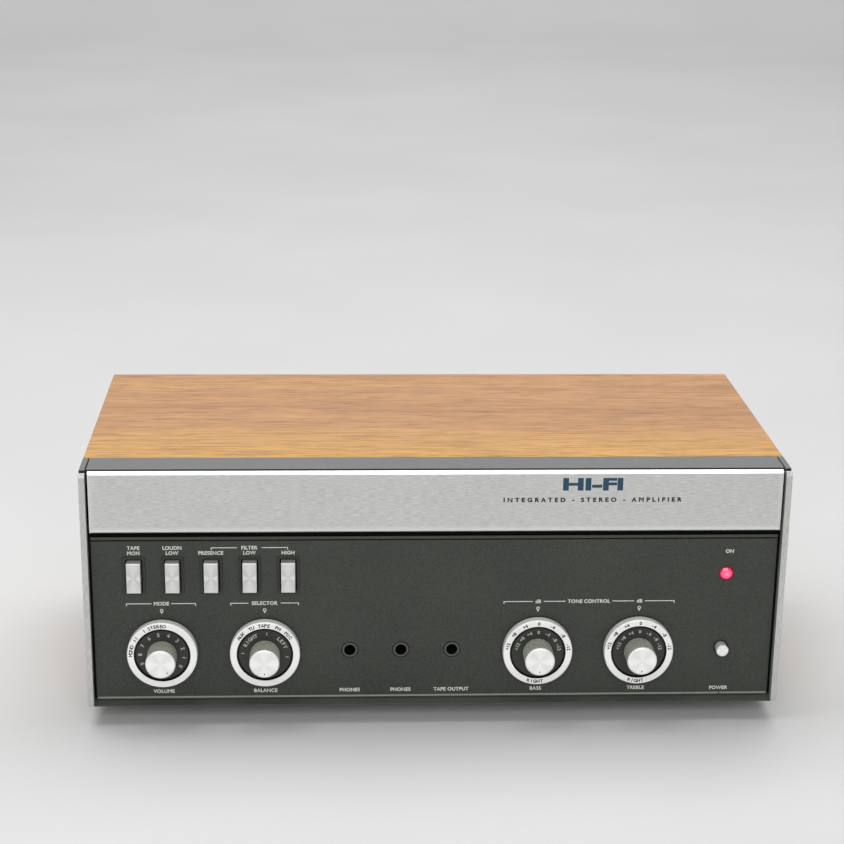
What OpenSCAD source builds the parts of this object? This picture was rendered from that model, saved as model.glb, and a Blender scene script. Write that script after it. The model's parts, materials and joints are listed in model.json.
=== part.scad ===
// Integrated stereo amplifier in a wooden sleeve.
// X runs to the right, Y from the front plane to the rear, Z up from the surface that the feet stand on.
// The origin is on that surface, under the middle of the object's whole box.
// Inside the modules, depths are measured back from the front plane of the side trims, and heights
// are measured up from the underside of the case. The helper modules move both to the origin.

/* [Case] */
// Width of the case
case_w = 413; // [405:1:430]
// Depth of the case from the front plane to the rear edge of the sleeve
case_d = 210; // [205:1:260]
// Height of the case without its feet
case_h = 146.5; // [144:0.5:165]
// Height of the feet
foot_h = 12.5; // [8:0.5:20]
// Radius of a foot
foot_r = 9; // [6:0.5:12]
// Thickness of the wooden boards
board_t = 10; // [6:0.5:12]
// Thickness of the sheet metal
sheet_t = 1.5; // [1:0.1:2]

/* [Front frame] */
// Rear edge of the painted front band
band_end = 28; // [24:1:36]
// Front edge of the painted top band
band_front = 6.5; // [5:0.1:7]
// Thickness of the top band
band_t = 3; // [2:0.5:4]
// Thickness of the painted cheeks at the sides of the front
cheek_t = 3.2; // [2.5:0.1:3.5]
// Width of the joint between the top band and a cheek
joint_gap = 0.8; // [0.2:0.1:1]
// Width of an aluminium side trim, seen from the front
trim_w = 3.6; // [3:0.1:4.5]
// Depth of the front bar of a side trim
trim_d = 2.5; // [2:0.1:4]

/* [Fascia and panel] */
// Width of the upper fascia
fascia_w = 402.6; // [390:0.1:402.6]
// Thickness of the upper fascia
fascia_t = 4; // [3.5:0.1:5]
// Height of the lower edge of the upper fascia
fascia_low = 109.5; // [108:0.5:115]
// Depth of the bevel along the upper edge of the fascia
bevel_d = 3.2; // [1:0.1:3.4]
// Width of that bevel, seen from the front
bevel_w = 1.2; // [0.5:0.1:2]
// Depth of the bevels at the ends of the fascia
end_bevel_d = 1; // [0.5:0.1:3]
// Width of those bevels, seen from the front
end_bevel_w = 1.4; // [0.5:0.1:2]
// Width of the control panel
panel_w = 403; // [398:0.5:403]
// Height of the upper edge of the control panel
panel_top = 102.7; // [100:0.1:103]
// Height of the lower edge of the control panel
panel_low = 1.9; // [1.8:0.1:3]
// Depth of the panel face behind the front plane
panel_y = 5.5; // [5:0.1:6]
// Thickness of the control panel
panel_t = 2; // [1.5:0.1:2]

/* [Controls] */
// Height of the row of knobs, jacks and the power button
knob_row = 33.3; // [30:0.1:36]
// Height of the row of keys
key_row = 81.3; // [78:0.1:84]
// Place of the volume and mode knob along X
volume_x = -161.6; // [-163:0.1:-160]
// Place of the bass knob along X
bass_x = 60.8; // [58:0.1:64]
// Distance between two neighbouring knobs
knob_gap = 60.5; // [58:0.1:62]
// Place of the middle jack along X
jack_x = -20.5; // [-24:0.1:-17]
// Distance between two neighbouring jacks
jack_gap = 30.4; // [28:0.1:32]
// Place of the first key along X
first_key_x = -177; // [-179:0.1:-176]
// Distance between two neighbouring keys
key_gap = 22.5; // [21:0.1:23]
// Place of the pilot lamp along X
lamp_x = 172.3; // [165:0.1:176]
// Height of the pilot lamp
lamp_row = 80.8; // [78:0.1:84]
// Place of the power button along X
power_x = 171.8; // [165:0.1:176]

/* [Knobs] */
// Radius of an outer ring
ring_r = 20.7; // [19:0.1:21]
// Inner radius of an outer ring's face
ring_in_r = 16.6; // [16:0.1:17]
// Place of a ring's face
ring_y = -1; // [-2:0.1:-0.5]
// Radius of the numbered skirt
skirt_r = 15.6; // [14:0.1:15.6]
// Radius of an inner knob
cap_r = 8.85; // [8:0.05:10]
// Length of an inner knob in front of its skirt
cap_len = 14.5; // [12:0.5:16]
// Radius of the inner control shaft
shaft_r = 2; // [2:0.1:2.2]
// Outer radius of the ring's tube
tube_r = 3; // [3:0.1:3.2]
// Radial running clearance of shafts and tubes
run_gap = 0.05; // [0.02:0.01:0.1]

/* [Keys and jacks] */
// Width of a key
key_w = 8.3; // [7:0.1:8.4]
// Height of a key
key_h = 18.8; // [17:0.1:19]
// Place of a key's face
key_y = 0.3; // [0:0.1:1]
// Travel of a key
key_travel = 4; // [2:0.5:4]
// Width of a key bezel
bezel_w = 13.2; // [12.8:0.1:13.6]
// Height of a key bezel
bezel_h = 23.8; // [23:0.1:24.5]
// Wall of a key bezel
bezel_wall = 1.8; // [1.4:0.1:1.8]
// Radius of the power button
power_r = 3.65; // [3:0.05:3.7]
// Travel of the power button
power_travel = 4; // [2:0.5:4]
// Radius of a jack's bore
jack_r = 3.2; // [3.18:0.01:3.3]
// Depth of a jack's bore
jack_depth = 28; // [26:1:30]

/* [Hidden] */

$fn = 96;
eps = 0.01; // how far a cutting body runs past the face that it cuts

half_w = case_w / 2;
inner_half_w = half_w - board_t; // to the inner faces of the side boards
cheek_in = half_w - cheek_t; // inner face of a cheek
panel_back = panel_y + panel_t; // the control panel lies against the front chassis here
chassis_back = panel_back + sheet_t;
rear_face = case_d - 3; // outer face of the rear panel
rear_t = 2;
phono_len = 8; // how far the phono sockets stand out of the rear panel
floor_top = 1 + sheet_t; // height of the upper face of the bottom plate
board_gap = 0.4; // shadow joint between the band and the sleeve

balance_x = volume_x + knob_gap;
treble_x = bass_x + knob_gap;
knob_xs = [volume_x, balance_x, bass_x, treble_x];
jack_xs = [jack_x - jack_gap, jack_x, jack_x + jack_gap];
key_xs = [for (i = [0:4]) first_key_x + i * key_gap];

jack_bush_r = 4.4;
jack_hole_r = 5.2;
bushing_r = 4.7; // threaded bushing of a pot
bushing_y = 4.3; // its front end
nut_hole_r = 9; // clears a pot's nut
lens_r = 3.9;
holder_r = 5;
power_ring_r = 4.7;
power_bore_r = 4;
skirt_y = ring_y + 0.5; // face of the numbered skirt
skirt_t = 1.5;
mid_y = (skirt_y - cap_len + rear_face + phono_len) / 2; // depth of the origin
web_t = 1.5; // thickness of a ring's web
key_stem_w = 6;
key_stem_h = 12.4;
key_back = 13; // rear end of a key's head
bank_y = key_back + key_travel + 3; // front of the key switches
bank_d = 26;
button_y = -0.3; // face of the power button
button_back = 12; // rear end of its head
switch_y = button_back + power_travel + 2; // front of the power switch

foot_xs = [-170, 170];
foot_ys = [48, case_d - 30];

lip_low = panel_top + 0.9; // lower edge of the chassis lip above the panel
lip_h = 1.7;

board_x = [-150, 20]; // the amplifier board's ends
board_y = [60, 160];
board_h = 12.5; // height of its lower face
pcb_t = 1.6;

core_x = 110; // middle of the transformer
core_y = 130;
core_w = 84;
core_h = 70;
core_stack = 45;
limb_w = 14; // width of an outer limb, and half that of the centre limb

sink_x = [-140, 10]; // the heatsink's ends
sink_y = 180;
sink_low = 20;
sink_h = 84;
sink_t = 6;

phono_xs = [-182, -164];
phono_rows = [28, 52, 76, 100];
phono_pin_r = 4.15;
speaker_xs = [30, 56, 82, 108];
speaker_row = 30;
inlet_x = 168;
inlet_row = 34;
inlet_w = 28;
inlet_h = 20;
screw_xs = [-inner_half_w + 8, 0, inner_half_w - 8];
screw_rows = [8, case_h - board_t - 8];

// ---- helpers ----

// Moves what it holds to a place in the case, given as x, depth and height
module at(x, y, height) {
    translate([x, y - mid_y, foot_h + height]) children();
}

// A box between two corners in the case
module case_box(low, high) {
    at(low.x, low.y, low.z) cube(high - low);
}

// Puts a body made along +Z onto a front axis, so that its z becomes depth
module on_axis(x, height) {
    at(x, 0, height) rotate([-90, 0, 0]) children();
}

// A cylinder along Y from depth y0 to y1
module rod(x, height, r, y0, y1) {
    on_axis(x, height) translate([0, 0, y0]) cylinder(r = r, h = y1 - y0);
}

// A profile drawn as [depth, height], run along X from x0 to x1
module run_along_x(x0, x1) {
    at(x0, 0, 0) rotate([90, 0, 90]) linear_extrude(x1 - x0) children();
}

// Corner points of a rectangle with round corners, centred on the origin
function round_rect(w, h, r, steps = 4) = [
    for (c = [[1, 1, 0], [-1, 1, 90], [-1, -1, 180], [1, -1, 270]])
        for (i = [0:steps])
            let (a = c[2] + i * 90 / steps)
            [c[0] * (w / 2 - r) + r * cos(a), c[1] * (h / 2 - r) + r * sin(a)]
];

// A prism with round corners along Y
module round_bar(x, height, w, h, r, y0, y1) {
    on_axis(x, height) translate([0, 0, y0]) linear_extrude(y1 - y0) polygon(round_rect(w, h, r));
}

// ---- wooden sleeve ----

module top_board() {
    color("peru")
        case_box([-half_w, band_end + board_gap, case_h - board_t], [half_w, case_d, case_h]);
}

module side_board(side) {
    x0 = side > 0 ? inner_half_w : -half_w;
    color("peru")
        case_box([x0, band_end + board_gap, 0], [x0 + board_t, case_d, case_h - board_t]);
}

module left_board() {
    side_board(-1);
}

module right_board() {
    side_board(1);
}

// ---- metalwork ----

module bottom_plate() {
    slot_w = 3;
    slot_l = 26;
    color("gray")
        difference() {
            union() {
                case_box([-inner_half_w, chassis_back, 1], [inner_half_w, rear_face - rear_t, floor_top]);
                case_box([-cheek_in, chassis_back, 1], [cheek_in, band_end, floor_top]);
            }
            for (x = [-130, -90, -50, 60, 100, 140])
                for (y = [80:8:144])
                    case_box([x - slot_l / 2, y, 0], [x + slot_l / 2, y + slot_w, 5]);
        }
}

module rear_panel() {
    y0 = rear_face - rear_t;
    color("silver")
        difference() {
            case_box([-inner_half_w, y0, 1], [inner_half_w, rear_face, case_h - board_t]);
            for (x = phono_xs)
                for (h = phono_rows)
                    rod(x, h, 4.4, y0 - 1, rear_face + 1);
            for (x = speaker_xs)
                rod(x, speaker_row, 8, y0 - 1, rear_face + 1);
            for (x = screw_xs)
                for (h = screw_rows)
                    rod(x, h, 1.6, y0 - 1, rear_face + 1);
            case_box([inlet_x - inlet_w / 2, y0 - 1, inlet_row - inlet_h / 2],
                [inlet_x + inlet_w / 2, rear_face + 1, inlet_row + inlet_h / 2]);
            for (x = [-110:10:-20])
                case_box([x, y0 - 1, 112], [x + 3, rear_face + 1, 128]);
        }
}

module top_band() {
    half = cheek_in - joint_gap;
    lip = 10;
    color("slategray")
        run_along_x(-half, half)
            polygon([
                [band_front, case_h - lip], [panel_back, case_h - lip],
                [panel_back, case_h - band_t], [band_end, case_h - band_t],
                [band_end, case_h], [band_front, case_h]
            ]);
}

module cheek(side) {
    x0 = side > 0 ? cheek_in : -half_w;
    color("slategray")
        case_box([x0, trim_d * 2, 0], [x0 + cheek_t, band_end, case_h]);
}

module left_cheek() {
    cheek(-1);
}

module right_cheek() {
    cheek(1);
}

// The right-hand trim: a front bar with a bevelled top, and a web that meets the cheek
module trim() {
    top = case_h - 0.9;
    bevel_h = 2.1;
    corner = 1.2;
    intersection() {
        run_along_x(half_w - trim_w, half_w)
            polygon([[0, 0.6], [0.6, 0], [trim_d, 0], [trim_d, top], [1.4, top], [0, top - bevel_h]]);
        at(half_w, trim_d, 0) rotate([90, 0, 0])
            linear_extrude(trim_d)
                polygon([[-trim_w, 0], [-corner, 0], [0, corner], [0, top], [-trim_w, top]]);
    }
    case_box([half_w - trim_w, trim_d - 0.1, 1], [half_w - trim_w / 2, trim_d * 2, top - 1]);
}

module left_trim() {
    color("lightgray") mirror([1, 0, 0]) trim();
}

module right_trim() {
    color("lightgray") trim();
}

module upper_fascia() {
    half = fascia_w / 2;
    top = case_h - 0.2;
    lower_r = 1.6;
    round_edge = [
        for (i = [0:6])
            let (a = 270 - i * 15)
            [lower_r + lower_r * cos(a), fascia_low + lower_r + lower_r * sin(a)]
    ];
    color("lightgray") {
        intersection() {
            run_along_x(-half, half)
                polygon(concat(round_edge,
                    [[0, top - bevel_w], [bevel_d, top], [fascia_t, top], [fascia_t, fascia_low]]));
            at(0, 0, 0) linear_extrude(case_h + 1)
                polygon([
                    [-half, fascia_t], [-half, end_bevel_d], [-half + end_bevel_w, 0],
                    [half - end_bevel_w, 0], [half, end_bevel_d], [half, fascia_t]
                ]);
        }
        for (x = [-150, 0, 150])
            case_box([x - 6, fascia_t - eps, 118], [x + 6, panel_back, 130]);
    }
}

module control_panel() {
    color("#42453f")
        difference() {
            case_box([-panel_w / 2, panel_y, panel_low], [panel_w / 2, panel_back, panel_top]);
            for (x = knob_xs)
                rod(x, knob_row, nut_hole_r, panel_y - 1, panel_back + 1);
            for (x = jack_xs)
                rod(x, knob_row, jack_hole_r, panel_y - 1, panel_back + 1);
            for (x = key_xs)
                round_bar(x, key_row, bezel_w, bezel_h, 1.6, panel_y - 1, panel_back + 1);
            rod(lamp_x, lamp_row, holder_r, panel_y - 1, panel_back + 1);
            rod(power_x, knob_row, power_ring_r, panel_y - 1, panel_back + 1);
        }
}

// The sill under the panel, with a bar behind it that closes the gap under the front chassis
module bottom_rail() {
    front = 0.4;
    top = panel_low - 0.15;
    half = half_w - trim_w;
    color("#42453f") {
        run_along_x(-half, half)
            polygon([[front, 0], [front, 0.5], [panel_y, top], [chassis_back, top], [chassis_back, 0]]);
        case_box([-cheek_in, panel_back, 0], [cheek_in, chassis_back, floor_top]);
    }
}

module front_chassis() {
    top = case_h - band_t;
    flange = band_end - 1;
    color("dimgray")
        difference() {
            union() {
                case_box([-cheek_in, panel_back, floor_top], [cheek_in, chassis_back, top]);
                case_box([-panel_w / 2, panel_y - 0.3, lip_low],
                    [panel_w / 2, panel_back + eps, lip_low + lip_h]);
                case_box([-cheek_in, chassis_back - eps, top - sheet_t], [cheek_in, flange, top]);
                for (x = [-cheek_in, cheek_in - sheet_t])
                    case_box([x, chassis_back - eps, floor_top], [x + sheet_t, flange, top]);
            }
            for (x = knob_xs)
                rod(x, knob_row, bushing_r + 0.1, panel_y, chassis_back + 1);
            for (x = jack_xs)
                rod(x, knob_row, jack_bush_r + 0.1, panel_y, chassis_back + 1);
            for (x = key_xs)
                round_bar(x, key_row, bezel_w + 0.2, bezel_h + 0.2, 1.7, panel_y, chassis_back + 1);
            rod(lamp_x, lamp_row, holder_r + 0.1, panel_y, chassis_back + 1);
            rod(power_x, knob_row, power_ring_r + 0.1, panel_y, chassis_back + 1);
        }
}

// ---- keys ----

module key_bezels() {
    color("#1c1c1e")
        for (x = key_xs)
            difference() {
                round_bar(x, key_row, bezel_w, bezel_h, 1.6, panel_y - 0.6, 12);
                round_bar(x, key_row, bezel_w - 2 * bezel_wall, bezel_h - 2 * bezel_wall, 0.8, 0, 13);
            }
}

// An aluminium key on its flat stem
module key(i) {
    stem_end = bank_y + bank_d - key_travel - 2;
    color("gainsboro") {
        case_box([key_xs[i] - key_w / 2, key_y, key_row - key_h / 2],
            [key_xs[i] + key_w / 2, key_back, key_row + key_h / 2]);
        case_box([key_xs[i] - key_stem_w / 2, key_back - eps, key_row - key_stem_h / 2],
            [key_xs[i] + key_stem_w / 2, stem_end, key_row + key_stem_h / 2]);
    }
}

module tape_monitor_key() {
    key(0);
}

module loudness_key() {
    key(1);
}

module presence_key() {
    key(2);
}

module low_filter_key() {
    key(3);
}

module high_filter_key() {
    key(4);
}

module key_switches() {
    slack = 0.4;
    end_x = bezel_w / 2 + 2.5; // clears the outer bezels
    half_h = 9;
    ear_t = 2;
    color("#2a2a2c") {
        difference() {
            case_box([key_xs[0] - end_x, bank_y, key_row - half_h],
                [key_xs[4] + end_x, bank_y + bank_d, key_row + half_h]);
            for (x = key_xs)
                case_box([x - key_stem_w / 2 - slack, bank_y - 1, key_row - key_stem_h / 2 - slack],
                    [x + key_stem_w / 2 + slack, bank_y + bank_d + 1, key_row + key_stem_h / 2 + slack]);
        }
        for (x = [key_xs[0] - end_x, key_xs[4] + end_x - ear_t])
            case_box([x, chassis_back, key_row - half_h], [x + ear_t, bank_y + eps, key_row + half_h]);
    }
}

// ---- power button and pilot lamp ----

module power_button() {
    stem_r = 2;
    stem_end = switch_y + 8;
    color("gainsboro")
        on_axis(power_x, knob_row)
            rotate_extrude()
                polygon([
                    [0, button_y], [power_r - 0.4, button_y], [power_r, button_y + 0.4],
                    [power_r, button_back], [stem_r, button_back], [stem_r, stem_end], [0, stem_end]
                ]);
}

module power_bezel() {
    color("#101012")
        on_axis(power_x, knob_row)
            rotate_extrude()
                polygon([
                    [power_bore_r, panel_y - 0.2], [power_ring_r, panel_y - 0.2],
                    [power_ring_r, chassis_back + 2], [power_bore_r, chassis_back + 2]
                ]);
}

module power_switch() {
    half = 11;
    leg_t = 2;
    color("#2a2a2c")
        difference() {
            union() {
                case_box([power_x - half, switch_y, knob_row - 8],
                    [power_x + half, switch_y + 20, knob_row + 8]);
                for (x = [power_x - half, power_x + half - leg_t])
                    case_box([x, chassis_back, knob_row - 8], [x + leg_t, switch_y + eps, knob_row + 8]);
            }
            rod(power_x, knob_row, 2.4, switch_y - 1, switch_y + 18);
        }
}

module pilot_lens() {
    dome_h = 1.3;
    ball_r = (lens_r * lens_r + dome_h * dome_h) / (2 * dome_h);
    front = panel_y - 1.2;
    color("crimson")
        on_axis(lamp_x, lamp_row) {
            intersection() {
                translate([0, 0, front + ball_r]) sphere(r = ball_r);
                translate([0, 0, front - 1]) cylinder(r = lens_r, h = dome_h + 1);
            }
            translate([0, 0, front + dome_h - eps]) cylinder(r = lens_r, h = 12);
        }
}

module pilot_holder() {
    color("#1a1012")
        on_axis(lamp_x, lamp_row)
            rotate_extrude()
                polygon([
                    [lens_r + 0.05, panel_y - 0.2], [holder_r, panel_y - 0.2], [holder_r, 22],
                    [0, 22], [0, 20], [lens_r + 0.05, 20]
                ]);
}

// ---- jacks and nuts ----

module jack(x) {
    front = panel_y - 0.2;
    box_end = 36;
    color("#161618")
        difference() {
            union() {
                rod(x, knob_row, jack_bush_r, front, chassis_back + 1);
                case_box([x - 8, chassis_back, knob_row - 9], [x + 8, box_end, knob_row + 9]);
            }
            rod(x, knob_row, jack_r, front - 1, front + jack_depth);
        }
}

module left_phones_jack() {
    jack(jack_xs[0]);
}

module right_phones_jack() {
    jack(jack_xs[1]);
}

module tape_output_jack() {
    jack(jack_xs[2]);
}

module panel_nuts() {
    nut_r = 7.6;
    nut_y = 4.9;
    ring_front = 6;
    color("#1c1c1e") {
        for (x = jack_xs)
            difference() {
                rod(x, knob_row, jack_hole_r - 0.05, ring_front, panel_back);
                rod(x, knob_row, jack_bush_r + 0.02, ring_front - 1, panel_back + 1);
            }
        for (x = knob_xs)
            difference() {
                on_axis(x, knob_row) translate([0, 0, nut_y])
                    cylinder(r = nut_r, h = panel_back - nut_y, $fn = 6);
                rod(x, knob_row, bushing_r + 0.02, nut_y - 1, panel_back + 1);
            }
    }
}

// ---- dual concentric controls ----

tube_end = 18;
tube_bore_r = shaft_r + run_gap;
shaft_end = 25;
web_y = skirt_y + skirt_t + 0.5; // front of a ring's web, clear of the skirt

module ring(x) {
    back = web_y + web_t;
    rim_back = panel_y - 1.1;
    rim_t = 1.2;
    edge = 0.5;
    color("gainsboro")
        on_axis(x, knob_row)
            rotate_extrude()
                polygon([
                    [ring_in_r, ring_y], [ring_r - edge, ring_y], [ring_r, ring_y + edge],
                    [ring_r, rim_back], [ring_r - rim_t, rim_back], [ring_r - rim_t, back],
                    [tube_r, back], [tube_r, tube_end], [tube_bore_r, tube_end], [tube_bore_r, web_y],
                    [ring_in_r, web_y]
                ]);
}

module skirt(x) {
    color("#33352f")
        on_axis(x, knob_row)
            rotate_extrude()
                polygon([
                    [shaft_r, skirt_y], [skirt_r - 0.3, skirt_y], [skirt_r, skirt_y + 0.3],
                    [skirt_r, skirt_y + skirt_t], [shaft_r, skirt_y + skirt_t]
                ]);
}

module cap(x) {
    front = skirt_y - cap_len;
    edge = 0.6;
    bore_end = front + 4;
    color("gainsboro")
        on_axis(x, knob_row)
            rotate_extrude()
                polygon([
                    [0, front], [cap_r - edge, front], [cap_r, front + edge], [cap_r, skirt_y],
                    [shaft_r, skirt_y], [shaft_r, bore_end], [0, bore_end]
                ]);
}

module shaft(x) {
    front = skirt_y - cap_len + 4;
    color("silver") rod(x, knob_row, shaft_r, front, shaft_end);
}

module volume_ring() {
    ring(volume_x);
}

module volume_skirt() {
    skirt(volume_x);
}

module volume_knob() {
    cap(volume_x);
}

module volume_shaft() {
    shaft(volume_x);
}

module balance_ring() {
    ring(balance_x);
}

module balance_skirt() {
    skirt(balance_x);
}

module balance_knob() {
    cap(balance_x);
}

module balance_shaft() {
    shaft(balance_x);
}

module bass_ring() {
    ring(bass_x);
}

module bass_skirt() {
    skirt(bass_x);
}

module bass_knob() {
    cap(bass_x);
}

module bass_shaft() {
    shaft(bass_x);
}

module treble_ring() {
    ring(treble_x);
}

module treble_skirt() {
    skirt(treble_x);
}

module treble_knob() {
    cap(treble_x);
}

module treble_shaft() {
    shaft(treble_x);
}

// Four dual pots: the tube turns in the front wafer and the inner shaft reaches the rear one
module control_pots() {
    body_r = 12;
    front_end = 20;
    rear_end = 30;
    color("darkgray")
        for (x = knob_xs) {
            on_axis(x, knob_row)
                rotate_extrude()
                    polygon([
                        [tube_r + run_gap, bushing_y], [bushing_r, bushing_y], [bushing_r, chassis_back],
                        [body_r, chassis_back], [body_r, front_end], [body_r - 1, front_end],
                        [body_r - 1, front_end + 1], [body_r, front_end + 1], [body_r, rear_end],
                        [0, rear_end], [0, shaft_end + 1], [tube_bore_r, shaft_end + 1],
                        [tube_bore_r, tube_end + 1], [tube_r + run_gap, tube_end + 1]
                    ]);
            for (dx = [-5, 0, 5])
                case_box([x + dx - 1, chassis_back + 4, knob_row - body_r - 4],
                    [x + dx + 1, chassis_back + 5, knob_row - body_r + 2]);
        }
}

// ---- power supply and electronics ----

module transformer_core() {
    window_h = core_h - 2 * limb_w;
    color("dimgray")
        difference() {
            case_box([core_x - core_w / 2, core_y - core_stack / 2, floor_top],
                [core_x + core_w / 2, core_y + core_stack / 2, floor_top + core_h]);
            for (side = [-1, 1])
                case_box([core_x + side * (limb_w * 1.5) - limb_w / 2, core_y - core_stack,
                        floor_top + limb_w],
                    [core_x + side * (limb_w * 1.5) + limb_w / 2, core_y + core_stack,
                        floor_top + limb_w + window_h]);
        }
}

module transformer_winding() {
    clear = 0.3;
    outer_x = 2 * limb_w - clear;
    outer_y = core_stack / 2 + limb_w;
    low = floor_top + limb_w + clear;
    high = floor_top + core_h - limb_w - clear;
    color("goldenrod")
        difference() {
            case_box([core_x - outer_x, core_y - outer_y, low], [core_x + outer_x, core_y + outer_y, high]);
            case_box([core_x - limb_w - clear, core_y - core_stack / 2 - clear, low - 1],
                [core_x + limb_w + clear, core_y + core_stack / 2 + clear, high + 1]);
        }
}

module amplifier_board() {
    post = 8;
    color("darkolivegreen") {
        case_box([board_x[0], board_y[0], board_h], [board_x[1], board_y[1], board_h + pcb_t]);
        for (x = [board_x[0] + post, board_x[1] - post])
            for (y = [board_y[0] + post, board_y[1] - post])
                at(x, y, floor_top) cylinder(r = 3, h = board_h - floor_top + eps);
    }
}

module board_components() {
    top = board_h + pcb_t;
    color("steelblue") {
        for (i = [0:5])
            at(board_x[0] + 22 + i * 25, board_y[0] + 18, top) cylinder(r = 6.5, h = 24);
        for (i = [0:7])
            at(board_x[0] + 20 + i * 18, board_y[0] + 42, top) cube([4, 12, 9]);
        for (i = [0:9])
            at(board_x[0] + 18 + i * 14.5, board_y[0] + 70, top) cylinder(r = 3.5, h = 7);
        for (i = [0:3])
            at(board_x[0] + 20 + i * 36, board_y[0] + 84, top) cube([22, 7, 7]);
    }
}

module reservoir_capacitors() {
    color("royalblue")
        for (y = [80, 130])
            at(44, y, floor_top) cylinder(r = 17.5, h = 85);
}

module heatsink() {
    fin_t = 2;
    fin_gap = 11.3;
    color("#26282a") {
        case_box([sink_x[0], sink_y, sink_low], [sink_x[1], sink_y + sink_t, sink_low + sink_h]);
        for (x = [sink_x[0]:fin_gap:sink_x[1] - fin_t])
            case_box([x, sink_y + sink_t - eps, sink_low],
                [x + fin_t, rear_face - rear_t, sink_low + sink_h]);
        for (x = [sink_x[0], sink_x[1] - 8])
            case_box([x, sink_y, floor_top], [x + 8, sink_y + sink_t, sink_low + eps]);
    }
}

module output_transistors() {
    color("silver")
        for (i = [0:3])
            on_axis(sink_x[0] + 24 + i * 34, sink_low + sink_h / 2) {
                translate([0, 0, sink_y - 2]) linear_extrude(2) polygon(round_rect(25, 38, 8));
                translate([0, 0, sink_y - 9]) cylinder(r = 10, h = 7 + eps);
            }
}

// ---- rear sockets ----

module input_sockets() {
    inner = rear_face - rear_t;
    color("silver")
        for (x = phono_xs)
            for (h = phono_rows)
                on_axis(x, h)
                    difference() {
                        union() {
                            translate([0, 0, inner - 10]) cylinder(r = 6, h = 10);
                            translate([0, 0, inner - eps])
                                cylinder(r = phono_pin_r, h = rear_t + phono_len + eps);
                            translate([0, 0, rear_face]) cylinder(r = 6, h = 1);
                        }
                        translate([0, 0, inner - 2]) cylinder(r = 1.6, h = 20);
                    }
}

module speaker_sockets() {
    color("#202022")
        for (x = speaker_xs)
            on_axis(x, speaker_row)
                difference() {
                    union() {
                        translate([0, 0, rear_face - rear_t - 12]) cylinder(r = 7.8, h = 14 + eps);
                        translate([0, 0, rear_face]) cylinder(r = 10, h = 2);
                    }
                    translate([-2.5, -3, rear_face - 8]) cube([5, 1.4, 20]);
                    translate([0, 3, rear_face - 8]) cylinder(r = 1.6, h = 20);
                }
}

module mains_inlet() {
    wall = 2.5;
    low = inlet_row - inlet_h / 2;
    high = inlet_row + inlet_h / 2;
    back = rear_face - 20;
    color("#1a1a1c")
        difference() {
            union() {
                case_box([inlet_x - inlet_w / 2, back, low], [inlet_x + inlet_w / 2, rear_face + eps, high]);
                case_box([inlet_x - inlet_w / 2 - 3, rear_face, low - 3],
                    [inlet_x + inlet_w / 2 + 3, rear_face + 2, high + 3]);
            }
            case_box([inlet_x - inlet_w / 2 + wall, back + 4, low + wall],
                [inlet_x + inlet_w / 2 - wall, rear_face + 3, high - wall]);
        }
    color("silver")
        for (dx = [-7, 0, 7])
            case_box([inlet_x + dx - 1, back + 3, inlet_row - 2],
                [inlet_x + dx + 1, rear_face - 3, inlet_row + 2]);
}

module wiring_loom() {
    r = 2.5;
    h = 6;
    front_y = 52;
    left = -174;
    right = 160;
    rear_y = 172;
    color("firebrick") {
        at(left, front_y, h) rotate([0, 90, 0]) cylinder(r = r, h = right - left);
        rod(right, h, r, front_y, rear_y);
        at(right, rear_y, h) cylinder(r = r, h = inlet_row - h);
        rod(right, inlet_row, r, rear_y, rear_face - 20);
        at(left, front_y, h) cylinder(r = r, h = key_row - h);
        rod(left, key_row, r, bank_y + bank_d, front_y);
        for (c = [[left, front_y, h], [right, front_y, h], [right, rear_y, h], [right, rear_y, inlet_row],
                [left, front_y, key_row]])
            at(c.x, c.y, c.z) sphere(r = r + 0.2);
    }
}

// ---- feet and fasteners ----

module feet() {
    color("#181818")
        for (x = foot_xs)
            for (y = foot_ys)
                at(x, y, -foot_h) rotate_extrude()
                    polygon([[0, 0], [foot_r - 1.5, 0], [foot_r - 0.5, 1],
                        [foot_r, foot_h + 1], [0, foot_h + 1]]);
}

module case_screws() {
    color("silver")
        for (x = screw_xs)
            for (h = screw_rows)
                on_axis(x, h)
                    difference() {
                        union() {
                            translate([0, 0, rear_face - 8]) cylinder(r = 1.5, h = 8 + eps);
                            translate([0, 0, rear_face]) cylinder(r = 3, h = 1.8);
                        }
                        translate([-4, -0.4, rear_face + 1]) cube([8, 0.8, 2]);
                    }
}

top_board();
left_board();
right_board();
bottom_plate();
rear_panel();
top_band();
left_cheek();
right_cheek();
left_trim();
right_trim();
upper_fascia();
control_panel();
bottom_rail();
front_chassis();
key_bezels();
tape_monitor_key();
loudness_key();
presence_key();
low_filter_key();
high_filter_key();
key_switches();
power_button();
power_bezel();
power_switch();
pilot_lens();
pilot_holder();
left_phones_jack();
right_phones_jack();
tape_output_jack();
panel_nuts();
volume_ring();
volume_skirt();
volume_knob();
volume_shaft();
balance_ring();
balance_skirt();
balance_knob();
balance_shaft();
bass_ring();
bass_skirt();
bass_knob();
bass_shaft();
treble_ring();
treble_skirt();
treble_knob();
treble_shaft();
control_pots();
transformer_core();
transformer_winding();
amplifier_board();
board_components();
reservoir_capacitors();
heatsink();
output_transistors();
input_sockets();
speaker_sockets();
mains_inlet();
wiring_loom();
feet();
case_screws();
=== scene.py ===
import json
import math

import bmesh
import bpy
from mathutils import Matrix, Vector


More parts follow.
